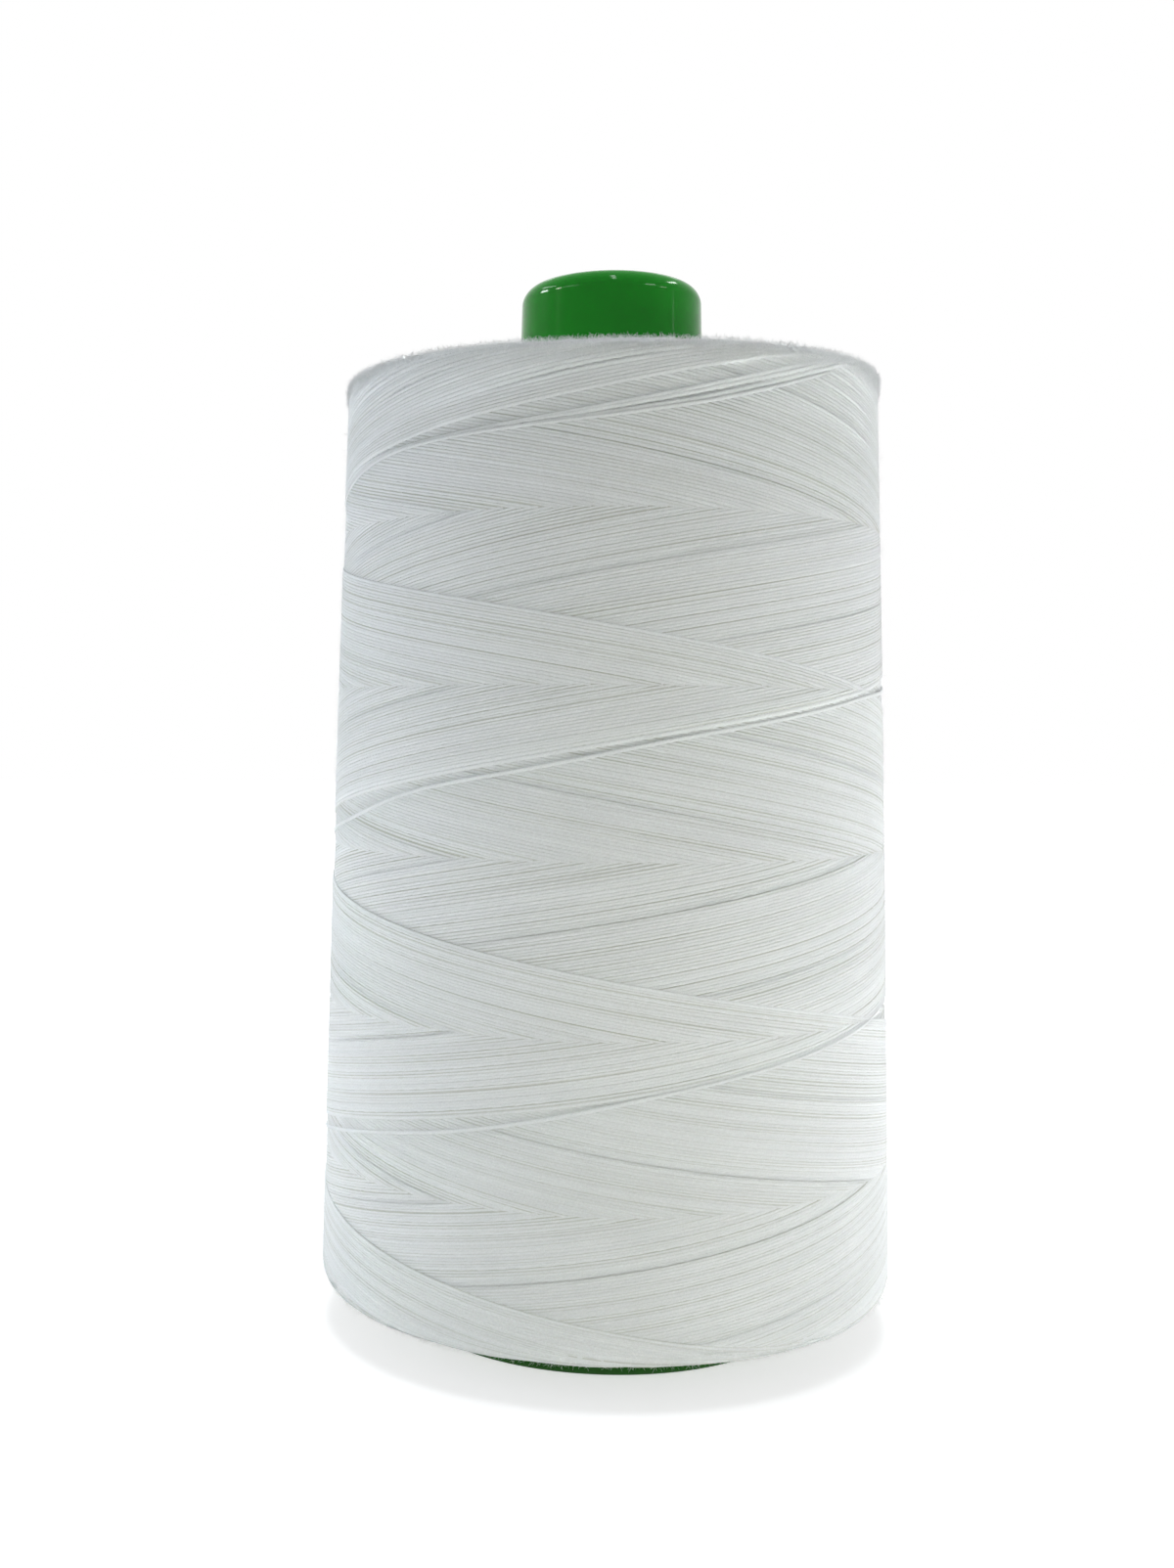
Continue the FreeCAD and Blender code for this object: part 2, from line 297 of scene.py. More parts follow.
class GeometryWriter(Writer):
    """A new Geometry Nodes tree with named inputs."""

    KINDS = {"length": "NodeSocketFloat", "share": "NodeSocketFloat", "count": "NodeSocketInt"}

    def __init__(self, name, inputs):
        tree = bpy.data.node_groups.new(name, "GeometryNodeTree")
        super().__init__(tree)
        tree.interface.new_socket("Geometry", in_out="OUTPUT", socket_type="NodeSocketGeometry")
        tree.interface.new_socket("Outline", in_out="INPUT", socket_type="NodeSocketGeometry")
        for kind, labels in inputs.items():
            for label in labels:
                item = tree.interface.new_socket(label, in_out="INPUT", socket_type=self.KINDS[kind])
                if kind == "length":
                    item.subtype = "DISTANCE"
        tree.interface.new_socket("Material", in_out="INPUT", socket_type="NodeSocketMaterial")
        start = self.node("NodeGroupInput")
        self.given = {socket.name: Value(self, socket) for socket in start.outputs if socket.name}

    def finish(self, geometry):
        """Realizes the result, shades it smooth, gives it the material and hands it out."""
        plain = self.out("GeometryNodeRealizeInstances", {0: geometry})
        smooth = self.out("GeometryNodeSetShadeSmooth", {0: plain})
        painted = self.out("GeometryNodeSetMaterial", {0: smooth, "Material": self.given["Material"]})
        self.node("NodeGroupOutput", {0: painted})
        return self.tree

    def store(self, geometry, name, value, kind="FLOAT"):
        """Keeps a value on the points, for the material to read."""
        return self.out(
            "GeometryNodeStoreNamedAttribute",
            {"Geometry": geometry, "Name": name, "Value": value},
            data_type=kind,
            domain="POINT",
        )

    def line(self, points):
        """A row of points whose places are set later."""
        return self.out("GeometryNodeMeshLine", {"Count": points}, mode="OFFSET", count_mode="TOTAL")

    def on_outline(self, run, turn, depth):
        """A point at a length along the package's outline, turned about the axis, below the surface."""
        outline = self.out("GeometryNodeMeshToCurve", {0: self.given["Outline"]})
        sample = self.node("GeometryNodeSampleCurve", mode="LENGTH")
        self.feed(sample.inputs["Curves"], outline)
        self.feed(sample.inputs["Length"], run)
        across, _, up = self.split(Value(self, sample.outputs["Position"]))
        way_across, _, way_up = self.split(Value(self, sample.outputs["Tangent"]))
        radius = across - way_up * depth
        angle = turn * TURN
        near_rim = ((up - RIM_START) / RIM_SPAN).at_least(0.0).at_most(1.0)
        height = up + way_across * depth + self.rim_wave(angle) * near_rim.squared()
        return self.xyz(radius * angle.sine(), -(radius * angle.cosine()), height)

    def rim_wave(self, angle):
        """How much higher the upper edge lies at an angle than on average."""
        return angle.sine() * RIM_TILT - (angle * 2.0).cosine() * RIM_SADDLE

    def sweep(self, path, sides):
        """The thread's body along a path of points: an oval section, wider than it is thick."""
        curve = self.out("GeometryNodeSetCurveNormal", {0: path}, mode="Z_UP")
        circle = self.out("GeometryNodeCurvePrimitiveCircle", {"Resolution": sides, "Radius": 1.0})
        spot = self.out("GeometryNodeInputPosition")
        marked = self.store(circle, "section", spot, "FLOAT_VECTOR")
        half = self.xyz(self.given["Thickness"] / 2.0, self.given["Width"] / 2.0, 1.0)
        oval = self.out("GeometryNodeTransform", {"Geometry": marked, "Scale": half})
        return self.out(
            "GeometryNodeCurveToMesh", {"Curve": curve, "Profile Curve": oval, "Fill Caps": True}
        )


def run_tree(name, tree, source, values, material):
    """The mesh that a tree makes on a source mesh, as a plain object at the origin."""
    holder = bpy.data.objects.new(name, source)
    bpy.context.scene.collection.objects.link(holder)
    modifier = holder.modifiers.new(tree.name, "NODES")
    modifier.node_group = tree
    values = dict(values, Material=material)
    for item in tree.interface.items_tree:
        if item.in_out == "INPUT" and item.name in values:
            modifier[item.identifier] = values[item.name]
    evaluated = holder.evaluated_get(bpy.context.evaluated_depsgraph_get())
    mesh = bpy.data.meshes.new_from_object(evaluated)
    mesh.name = name
    holder.modifiers.remove(modifier)
    holder.data = mesh
    if not mesh.polygons:
        raise RuntimeError(name + " came out empty")
    return holder


def place(piece, slot, *nodes):
    """The piece rides on the cone's one body, and stands for the nodes given."""
    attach(piece, "root")
    if nodes:
        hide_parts(*nodes)


# The package's outline


def arc(centre, radius, start, end, steps):
    """Points on an arc in the plane of a section; angles in degrees from straight out."""
    turns = [math.radians(start + (end - start) * step / steps) for step in range(steps + 1)]
    return [(centre[0] + radius * math.cos(turn), centre[1] + radius * math.sin(turn)) for turn in turns]


def wall_slope(cone):
    """How much the cone's wall leans in for each unit of height."""
    return (cone.base_radius - cone.nose_radius) / (CONE_HEIGHT - cone.nose_length)


def package_outline(inset=0.0, arc_steps=8, side_steps=24):
    """The winding's half section, from its foot on the cone round to the nose, and the side's first point."""
    cone = bpy.context.scene.cone_sizes
    thread = bpy.context.scene.thread_sizes
    slope = wall_slope(cone)
    face = math.degrees(math.atan(slope))
    seat = cone.base_radius - WINDING_FOOT * slope
    low = thread.base_round - inset
    high = thread.top_round - inset
    low_centre = (thread.base_radius - thread.base_round, thread.base_height + thread.base_round)
    high_centre = (thread.top_radius - thread.top_round, thread.top_height - thread.top_round)
    points = [(seat - inset * slope, WINDING_FOOT + inset)]
    points += arc(low_centre, low, -90 - face, 0, arc_steps)
    side = len(points) - 1
    start, end = points[-1], (high_centre[0] + high, high_centre[1])
    for step in range(1, side_steps):
        part = step / side_steps
        across = start[0] + (end[0] - start[0]) * part + thread.crown * 4 * part * (1 - part)
        points.append((across, start[1] + (end[1] - start[1]) * part))
    points += arc(high_centre, high, 0, 90 + face, arc_steps)
    points.append((cone.nose_radius, CONE_HEIGHT - cone.nose_length - inset))
    return points, side


def outline_mesh():
    """The outline as a line of edges, with the length along it at which height 0 would lie."""
    points, side = package_outline()
    mesh = bpy.data.meshes.new("package_outline")
    mesh.from_pydata([(x, 0.0, z) for x, z in points], [(i, i + 1) for i in range(len(points) - 1)], [])
    lengths = [math.dist(points[i], points[i + 1]) for i in range(len(points) - 1)]
    runs = [sum(lengths[:i]) for i in range(len(points))]
    return mesh, runs[side] - points[side][1], runs[-1]


def lathe(name, columns, closed=True):
    """A mesh from sections: each column is an angle and its outline, all of one length."""
    rings = []
    verts = []
    for turn, outline in columns:
        rings.append(range(len(verts), len(verts) + len(outline)))
        verts += [(x * math.sin(turn), -x * math.cos(turn), z) for x, z in outline]
    faces = []
    for number, ring in enumerate(rings):
        other = rings[(number + 1) % len(rings)]
        total = len(ring)
        for i in range(total if closed else total - 1):
            j = (i + 1) % total
            faces.append((ring[i], other[i], other[j], ring[j]))
    mesh = bpy.data.meshes.new(name)
    mesh.from_pydata(verts, [], faces)
    shape = bmesh.new()
    shape.from_mesh(mesh)
    bmesh.ops.remove_doubles(shape, verts=shape.verts, dist=1e-6)
    bmesh.ops.recalc_face_normals(shape, faces=shape.faces)
    shape.to_mesh(mesh)
    shape.free()
    return mesh


def new_piece(name, mesh, material, sharp_degrees=None):
    """An object with a finished mesh; edges sharper than the angle stay crisp."""
    piece = bpy.data.objects.new(name, mesh)
    bpy.context.scene.collection.objects.link(piece)
    mesh.materials.append(material)
    mesh.polygons.foreach_set("use_smooth", [True] * len(mesh.polygons))
    if sharp_degrees:
        mesh.set_sharp_from_angle(angle=math.radians(sharp_degrees))
    return piece


# Materials


def new_material(name, values, **settings):
    """A material with one surface shader, whose own sockets hold what is the same all over the surface."""
    material = bpy.data.materials.new(name)
    material.use_nodes = True
    material.node_tree.nodes.clear()
    writer = Writer(material.node_tree)
    shader = writer.node("ShaderNodeBsdfPrincipled", values, **settings)
    writer.node("ShaderNodeOutputMaterial", {0: Value(writer, shader.outputs[0])})
    return material, writer, shader


def tint(colour, factor):
    """A colour made lighter or darker, opaque."""
    return tuple(min(1.0, part * factor) for part in colour) + (1.0,)


def mix(writer, factor, first, second):
    """Blends two colours by a factor."""
    node = writer.node("ShaderNodeMix", data_type="RGBA")
    writer.feed(node.inputs["Factor"], factor)
    writer.feed(node.inputs[6], first)
    writer.feed(node.inputs[7], second)
    return Value(writer, node.outputs[2])


def bump(writer, shader, height, distance, strength):
    """Raises the surface by a height pattern."""
    made = writer.out("ShaderNodeBump", {"Height": height, "Distance": distance, "Strength": strength})
    writer.feed(shader.inputs["Normal"], made)


def noise(writer, spot, scale, detail=2.0, roughness=0.5):
    """A noise pattern, from 0 to 1."""
    inputs = {"Vector": spot, "Scale": scale, "Detail": detail, "Roughness": roughness}
    return writer.out("ShaderNodeTexNoise", inputs)


def stored(writer, name, output=2):
    """A value that the geometry keeps on its points; output 2 is a number and output 1 a vector."""
    return writer.out("ShaderNodeAttribute", output=output, attribute_name=name)


def fibre_material(name, values):
    """A material of spun fibres: light enters them, spreads inside and comes out nearby."""
    scatter = {
        "Subsurface Weight": 1.0,
        "Subsurface Radius": (1.0, 1.0, 1.0),
        "Subsurface Scale": 0.9 * MM,
    }
    return new_material(name, values | scatter, subsurface_method="BURLEY")


# How far apart the plies lie along the thread, and the rings of the inner layers on them
PLY_PITCH = 0.9 * MM
INNER_PITCH = 0.47 * MM


def spun_thread(yarn, furrow):
    """Spun thread: plies that twist round it, fine fibres, a tone of its own for each wrap, painted shade on
    its sides and painted light on the newest threads.
    """
    values = {
        "Roughness": 0.78,
        "Specular IOR Level": 0.18,
        "Diffuse Roughness": 0.7,
        "Sheen Weight": 0.12,
        "Sheen Roughness": 0.45,
    }
    material, writer, shader = fibre_material("spun_thread", values)
    spot = writer.out("ShaderNodeTexCoord", output=3)
    across, deep, _ = writer.split(stored(writer, "section", 1))
    angle = writer.math("ARCTAN2", deep, across)
    plies = (angle * 3.0 + stored(writer, "run") * (TURN / PLY_PITCH)).sine() * 0.5 + 0.5
    fibre = noise(writer, spot, 5200.0, 3.0, 0.6)
    patch = noise(writer, spot, 90.0, 3.0, 0.6)
    grain = fibre.between(0.36, 0.64)
    # Painted light: the newest threads and the last wrap are coloured lighter, for the light on their raised
    # side; the tone that goes with it differs at random from wrap to wrap.
    tone_and_painted_light = stored(writer, "tone") * 0.2 + stored(writer, "fresh") * 0.8
    shade = plies * 0.15 + grain * 0.5 + patch * 0.2 + tone_and_painted_light
    crest = mix(writer, shade, tint(yarn, 0.92), tint(yarn, 1.05))
    # Painted shade: the thread's sides are coloured towards the furrow colour, where a neighbour would shade
    # them.
    valley = across.squared().between(0.85, 0.15) * stored(writer, "parting").at_most(1.0)
    writer.feed(shader.inputs["Base Color"], mix(writer, valley, crest, tint(furrow, 1.0)))
    bump(writer, shader, plies * 0.7 + fibre * 0.3, 0.04 * MM, 0.35)
    return material


def packed_thread(yarn):
    """The layers under the outer threads: fine rings of thread."""
    material, writer, shader = new_material("packed_thread", {"Roughness": 0.85, "Specular IOR Level": 0.1})
    spot = writer.out("ShaderNodeTexCoord", output=3)
    across, deep, up = writer.split(spot)
    radius = writer.math("SQRT", across.squared() + deep.squared())
    sway = noise(writer, spot, 60.0, 2.0, 0.5) * 1.2 * MM
    rows = ((up + radius + sway) * (TURN / INNER_PITCH)).sine() * 0.5 + 0.5
    fibre = noise(writer, spot, 4200.0, 3.0, 0.6)
    body = mix(writer, rows * 0.7 + fibre * 0.3, tint(yarn, 0.9), tint(yarn, 1.06))
    writer.feed(shader.inputs["Base Color"], body)
    bump(writer, shader, rows + fibre * 0.3, 0.15 * MM, 0.8)
    return material


def lint_fibre(yarn):
    """Loose fibres that stand off the thread, coloured lighter than it as painted light."""
    material, writer, shader = fibre_material("lint_fibre", {"Roughness": 0.7, "Sheen Weight": 1.0})
    spot = writer.out("ShaderNodeTexCoord", output=3)
    patch = noise(writer, spot, 700.0, 2.0, 0.5)
    # Painted light: the fibres are coloured up to a fifth lighter than the thread, for the light that thin
    # fibres let through; the patches differ at random.
    writer.feed(shader.inputs["Base Color"], mix(writer, patch, tint(yarn, 1.02), tint(yarn, 1.2)))
    return material


def glossy_plastic(plastic, foot_shade_colour):
    """Moulded plastic: a smooth skin with faint flow marks and fine scuffs, and painted shade that darkens
    the lowest few millimetres of the foot.
    """
    material, writer, shader = new_material("green_plastic", {"IOR": 1.49, "Specular IOR Level": 0.14})
    spot = writer.out("ShaderNodeTexCoord", output=3)
    flow = noise(writer, spot, 70.0, 4.0, 0.55)
    grain = noise(writer, spot, 900.0, 3.0, 0.6)
    stretched = writer.out("ShaderNodeMapping", {"Vector": spot, "Scale": (260.0, 260.0, 30.0)})
    marks = noise(writer, stretched, 4.0, 5.0, 0.7).between(0.62, 0.80)
    _, _, up = writer.split(spot)
    # Painted shade: below 5 mm the plastic turns darker and rougher, fully so below 2 mm.
    painted_foot_shade = up.between(5.0 * MM, 2.0 * MM) * (grain * 0.3 + 0.6)
    clean = mix(writer, flow, tint(plastic, 0.82), tint(plastic, 1.18))
    writer.feed(shader.inputs["Base Color"], mix(writer, painted_foot_shade, clean, tint(foot_shade_colour, 1.0)))
    worn = marks * 0.12 + grain * 0.03 + painted_foot_shade * 0.3
    writer.feed(shader.inputs["Roughness"], flow * 0.05 + worn + 0.05)
    bump(writer, shader, flow * 0.7 + grain * 0.12 + marks * 0.1, 0.10 * MM, 0.20)
    return material


# The moulded core

# How much is taken off the corners that no size above rounds
CORNER = 0.3 * MM


def cone_outline(cone, in_notch):
    """The wall's closed half section, from the foot's inner edge outwards and up, and down inside."""
    slope = wall_slope(cone)
    nose_foot = CONE_HEIGHT - cone.nose_length
    lip_foot = CONE_HEIGHT - cone.lip_length
    groove_top = cone.foot_height + cone.groove_width
    groove_skin = cone.base_radius - groove_top * slope
    groove = groove_skin - cone.groove_depth
    foot = FOOT_RADIUS - cone.notch_depth if in_notch else FOOT_RADIUS
    bevel = 0.0 if in_notch else cone.foot_bevel
    inside = cone.base_radius - cone.wall
    low = arc((foot - bevel, bevel), bevel, -90, 0, 4)
    high = arc((foot - bevel, cone.foot_height - bevel / 2), bevel / 2, 0, 90, 3)
    if not in_notch:
        high = [(x + bevel / 2, z) for x, z in high]
    top_centre = (cone.nose_top_radius - cone.nose_round, CONE_HEIGHT - cone.nose_round)
    lip_centre = (BORE_RADIUS + cone.lip_bevel, CONE_HEIGHT - cone.lip_bevel)
    points = [(inside + CORNER, 0.0)] + low + high
    points += [(groove, cone.foot_height), (groove, groove_top), (groove_skin, groove_top + 0.1 * MM)]
    points += [(cone.nose_radius, nose_foot)]
    points += arc(top_centre, cone.nose_round, 0, 90, 12)
    points += arc(lip_centre, cone.lip_bevel, 90, 180, 6)
    points += [(BORE_RADIUS, lip_foot + CORNER), (BORE_RADIUS + CORNER, lip_foot)]
    points += [(cone.nose_top_radius - cone.wall - CORNER, lip_foot)]
    points += [(cone.nose_top_radius - cone.wall, lip_foot - CORNER)]
    points += [(cone.nose_radius - cone.wall, nose_foot), (inside, CORNER)]
    return points


class ConeMakeCore(bpy.types.Operator):
    """Makes the moulded cone: tapered wall, foot with its groove and notch, rounded nose and lip"""

    bl_idname = "thread_cone.core"
    bl_label = "Moulded Core"

    def execute(self, context):
        cone = context.scene.cone_sizes
        half_notch = cone.notch_width / 2 / FOOT_RADIUS
        turns = [TURN * step / cone.steps for step in range(cone.steps)]
        plain = cone_outline(cone, False)
        cut = cone_outline(cone, True)
        columns = [(turn, plain) for turn in turns if abs(turn - math.pi) > half_notch]
        edge = next(i for i, (turn, _) in enumerate(columns) if turn > math.pi)
        slot = [(math.pi - half_notch, plain), (math.pi - half_notch, cut)]
        slot += [(math.pi + half_notch, cut), (math.pi + half_notch, plain)]
        columns[edge:edge] = slot
        mesh = lathe("moulded_core", columns)
        piece = new_piece("moulded_core", mesh, glossy_plastic(cone.plastic, cone.foot_shade_colour), 28)
        place(piece, "core_plastic", "core_cone")
        return {"FINISHED"}


def rib_mesh(cone):
    """One grip rib on the inside of the wall, with rounded edges."""
    slope = wall_slope(cone)
    low = cone.rib_start
    high = CONE_HEIGHT - cone.nose_length - cone.rib_end_gap
    inner = cone.base_radius - cone.wall
    root = inner + cone.wall / 2
    crest = inner - cone.rib_depth
    section = [
        (root - low * slope, low),
        (crest - (low + cone.rib_depth) * slope, low + cone.rib_depth),
        (crest - high * slope, high),
        (root - (high + cone.rib_depth) * slope, high + cone.rib_depth),
    ]
    half = cone.rib_width / 2
    verts = [(side, x, z) for side in (-half, half) for x, z in section]
    faces = [(3, 2, 1, 0), (4, 5, 6, 7)] + [(i, (i + 1) % 4, (i + 1) % 4 + 4, i + 4) for i in range(4)]
    mesh = bpy.data.meshes.new("rib")
    mesh.from_pydata(verts, [], faces)
    shape = bmesh.new()
    shape.from_mesh(mesh)
    free = {vert for vert in shape.verts if vert.co.y < root - vert.co.z * slope - 0.1 * MM}
    edges = [edge for edge in shape.edges if free.issuperset(edge.verts)]
    bmesh.ops.bevel(shape, geom=edges, offset=0.4 * MM, segments=3, affect="EDGES")
    bmesh.ops.recalc_face_normals(shape, faces=shape.faces)
    shape.to_mesh(mesh)
    shape.free()
    return mesh


def rib_tree():
    """Sets copies of one rib evenly round the axis."""
    tree = GeometryWriter("Grip ribs", {"count": ["Ribs"]})
    ribs = tree.given["Ribs"]
    still = {"Count": ribs, "Offset": (0.0, 0.0, 0.0)}
    points = tree.out("GeometryNodeMeshLine", still, count_mode="TOTAL")
    index = tree.out("GeometryNodeInputIndex")
    turned = tree.xyz(0.0, 0.0, index / ribs * TURN)
    copies = tree.out(
        "GeometryNodeInstanceOnPoints",
        {"Points": points, "Instance": tree.given["Outline"], "Rotation": turned},
    )
    return tree.finish(copies)


class ConeMakeRibs(bpy.types.Operator):
    """Makes the grip ribs inside the cone"""

    bl_idname = "thread_cone.ribs"
    bl_label = "Grip Ribs"

    def execute(self, context):
        cone = context.scene.cone_sizes
        material = bpy.data.materials["green_plastic"]
        piece = run_tree("grip_ribs", rib_tree(), rib_mesh(cone), {"Ribs": cone.rib_count}, material)
        place(piece, "core_plastic")
        return {"FINISHED"}


# The wound thread


# Inputs that take the thread's sizes of the same names
WINDING_SIZES = {
    "count": ["Steps", "Turns", "Strokes"],
    "share": ["Start", "Bias", "Top dip", "Ease", "Group"],
    "length": [
        "Low turn", "High turn", "Width", "Thickness", "Layer",
        "Wander", "Gap", "End scatter", "Slip", "Stray",
    ],
}
WINDING_INPUTS = {
    "count": WINDING_SIZES["count"],
    "share": WINDING_SIZES["share"] + ["First", "Last", "Seed"],
    "length": WINDING_SIZES["length"] + ["Zero run"],
}
WINDING_SEED = 11.0
END_SEED = 5.0
LINT_SEED = 20.0
THREAD_SIDES = 6

# The thread's length on one turn round the winding, on average
MEAN_TURN = 283 * MM

# The newest threads slipped down round this share of their rise, this far before it and after it.
SLIP_MIDDLE = 0.957
SLIP_BEFORE = 0.072
SLIP_AFTER = 0.052
SLIPPED_AGE = 3.5
SLIP_FADE_AGE = 26.0
PAIR_GAP = 0.38 * MM
SQUEEZE = 0.2 * MM

# Where the last wrap lies apart, in shares of its rise: it leaves its neighbours, is furthest from them,
# starts back and is back. The last number is how far it goes, as a share of the size Stray.
STRAY_STRETCHES = (
    (0.10, 0.19, 0.245, 0.295, 1.0),
    (0.44, 0.54, 0.548, 0.577, 1.0),
    (0.44, 0.54, 0.590, 0.625, 0.35),
    (0.44, 0.54, 0.720, 0.830, 0.33),
    (0.66, 0.685, 0.720, 0.830, 0.8),
)

# The share of one crossing over which a thread climbs on another, or drops from it
CLIMB = 0.035


class Laid:
    """When each point of the thread was laid, and how far along its stroke it lies."""

    def __init__(self, tree):
        given = tree.given
        self.time = given["First"] + tree.out("GeometryNodeInputIndex") / (given["Steps"] * given["Turns"])
        self.age = -self.time.floor()
        self.part = self.time.fract()
        self.up = self.part.below(0.5)
        self.along = self.up.choose(self.part * 2.0, 2.0 - self.part * 2.0)
        self.turn = given["Start"] + given["Turns"] * self.part + self.time / given["Strokes"]
        self.level = stroke_level(self.along, given["Ease"])
        self.last = self.age.below(0.5) * self.along.between(0.0, 0.12)


def stroke_level(along, ease):
    """Share of the height at a share of the stroke: even in the middle, rounded where the thread turns."""
    steep = 1.0 / (1.0 - ease)
    near = along.at_most(1.0 - along)
    bend = near.squared() * steep / (ease * 2.0)
    even = 0.5 - (0.5 - near) * steep
    rise = near.below(ease).choose(bend, even)
    return along.below(0.5).choose(rise, 1.0 - rise)


def stroke_height(level, given):
    """Height on the package at a level: the pitch widens upwards and dips in the upper quarter."""
    dip = level.window(0.55, 0.85, 0.87, 1.0) * given["Top dip"]
    biased = level - given["Bias"] * level * (1.0 - level) - dip
    return given["Low turn"] + (given["High turn"] - given["Low turn"]) * biased


def scatter_ends(tree, laid):
    """Turning points differ a little from stroke to stroke."""
    seed = tree.given["Seed"]
    low = tree.drift((laid.time + 0.5).floor() * 0.37, 0.5, seed + 1.0) * laid.level.between(0.06, 0.0)
    high = tree.drift(laid.time.floor() * 0.37, 0.5, seed + 2.0) * laid.level.between(0.94, 1.0)
    return (low + high) * tree.given["End scatter"]


def wander(tree, laid):
    """Each thread strays slowly from its path, and a little more in short waves."""
    seed = tree.given["Seed"]
    slow = tree.drift(laid.part * 13.0, laid.age * 0.45, seed + 3.0) * 2.0
    quick = tree.drift(laid.part * 47.0, laid.age * 0.9, seed + 4.0) * 0.5
    return (slow + quick) * tree.given["Wander"]


def crowd(tree, laid):
    """Threads crowd together in small groups: how far each moves, and 1 at the edge of its group, else 0."""
    given = tree.given
    seed = given["Seed"]
    group = laid.age / given["Group"] + tree.drift(laid.age * 0.31, 0.5, seed + 5.0) * 0.9 + laid.up * 0.4
    off_middle = group.fract() - 0.5
    newness = (1.0 - laid.age / 14.0).at_least(0.0) * 0.6 + 0.45
    off_ends = laid.along.at_most(1.0 - laid.along).between(0.0, 0.22) * newness
    opening = tree.drift(group.floor() * 5.3 + laid.up * 71.0, laid.along * 5.0, seed + 6.0) * 1.6 + 0.55
    opening = opening.at_least(0.0).at_most(1.0)
    moved = off_middle * laid.up.choose(-1.0, 1.0) * opening * off_ends * given["Gap"]
    return moved, off_middle.squared().between(0.06, 0.16)


def slip(tree, laid):
    """The newest threads slipped down from the upper edge: a bundle at both ends, two pairs between."""
    reach = laid.along.below(SLIP_MIDDLE).choose(SLIP_BEFORE, SLIP_AFTER)
    shape = (1.0 - ((laid.along - SLIP_MIDDLE) / reach).squared()).at_least(0.0).squared() * laid.up
    newest = laid.age.below(SLIPPED_AGE)
    fading = (1.0 - laid.age / SLIP_FADE_AGE).at_least(0.0)
    left_behind = fading * (laid.along.between(0.93, 0.88) * 0.35 + 0.58)
    pairs = (0.5 - laid.age.below(1.5)) * shape.squared() * PAIR_GAP
    squeeze = (laid.age - 1.5) * (1.0 - shape) * laid.along.between(0.84, 0.88) * SQUEEZE
    return (pairs - squeeze) * newest * laid.up - shape * newest.choose(1.0, left_behind) * tree.given["Slip"]


def stray(tree, laid):
    """The last wrap lies by itself below its neighbours on two of its turns."""
    total = 0.0
    for *stretch, part in STRAY_STRETCHES:
        total = laid.along.window(*stretch) * part + total
    return laid.last * total * tree.given["Stray"]


def lie(tree, laid):
    """How deep a thread lies: it climbs on those that it crosses, and drops where it meets newer ones."""
    given = tree.given
    crossing = (given["Turns"] * laid.along).fract()
    after = (1.0 - crossing / CLIMB).at_least(0.0).squared() * 0.5
    before = (1.0 - (1.0 - crossing) / CLIMB).at_least(0.0).squared() * 0.5
    step = crossing + after - before
    covered = laid.age * 2.0 / given["Strokes"] + laid.up.choose(1.0 - step, step)
    tucked = laid.last * laid.along.between(0.975, 0.998) * 2.6
    proud = laid.last * 0.1 + (1.0 - laid.age / 8.0).at_least(0.0) * 0.1
    return given["Thickness"] / 2.0 + given["Layer"] * (covered + tucked - proud)


def furrow_strength(tree, laid, group_edge):
    """How dark the painted shade in the furrow beside a thread is: uneven, more at a group's edge, less
    beside the newest.
    """
    seed = tree.given["Seed"]
    uneven = tree.drift(laid.age * 0.7 + laid.up * 31.0, laid.along * 9.0, seed + 9.0) * 1.1 + 0.02
    strength = (group_edge * 0.75 + uneven).at_least(0.0) * laid.level.between(1.0, 0.9)
    return strength * (laid.age.between(0.2, 2.2) * 0.7 + 0.3)


def winding_tree():
    """One continuous thread, laid by a traverse that runs up and down while the cone turns."""
    tree = GeometryWriter("Wound thread", WINDING_INPUTS)
    given = tree.given

    # Time is counted in double strokes and ends at the last one; age is how many of them ago it was laid.
    laid = Laid(tree)
    moved, group_edge = crowd(tree, laid)
    height = stroke_height(laid.level, given) + scatter_ends(tree, laid) + wander(tree, laid) + moved
    height = height + slip(tree, laid) - stray(tree, laid)
    spot = tree.on_outline(height + given["Zero run"], laid.turn, lie(tree, laid))

    total = (given["Last"] - given["First"]) * given["Steps"] * given["Turns"] + 1.0
    path = tree.out("GeometryNodeSetPosition", {0: tree.line(total), "Position": spot})
    kept = {
        "run": tree.out("GeometryNodeInputIndex") * (MEAN_TURN / given["Steps"]),
        "tone": tree.random(laid.age * 2.0 + laid.up, given["Seed"] + 8.0),
        # Painted shade in the furrow beside each thread, by strength.
        "parting": furrow_strength(tree, laid, group_edge),
        # Painted light: a lighter colour on the newest threads, and more on the last wrap.
        "fresh": (1.0 - laid.age / 5.0).at_least(0.0) * 0.1 + laid.last * 0.3,
    }
    for name, value in kept.items():
        path = tree.store(path, name, value)
    path = tree.out("GeometryNodeMeshToCurve", {0: path})
    return tree.finish(tree.sweep(path, THREAD_SIDES))


def winding_values(first, last, zero_run):
    """The winding tree's inputs, most of them from the thread's sizes of the same names."""
    thread = bpy.context.scene.thread_sizes
    values = {"First": float(first), "Last": float(last), "Zero run": zero_run, "Seed": WINDING_SEED}
    for labels in WINDING_SIZES.values():
        for label in labels:
            values[label] = getattr(thread, label.lower().replace(" ", "_"))
    return values


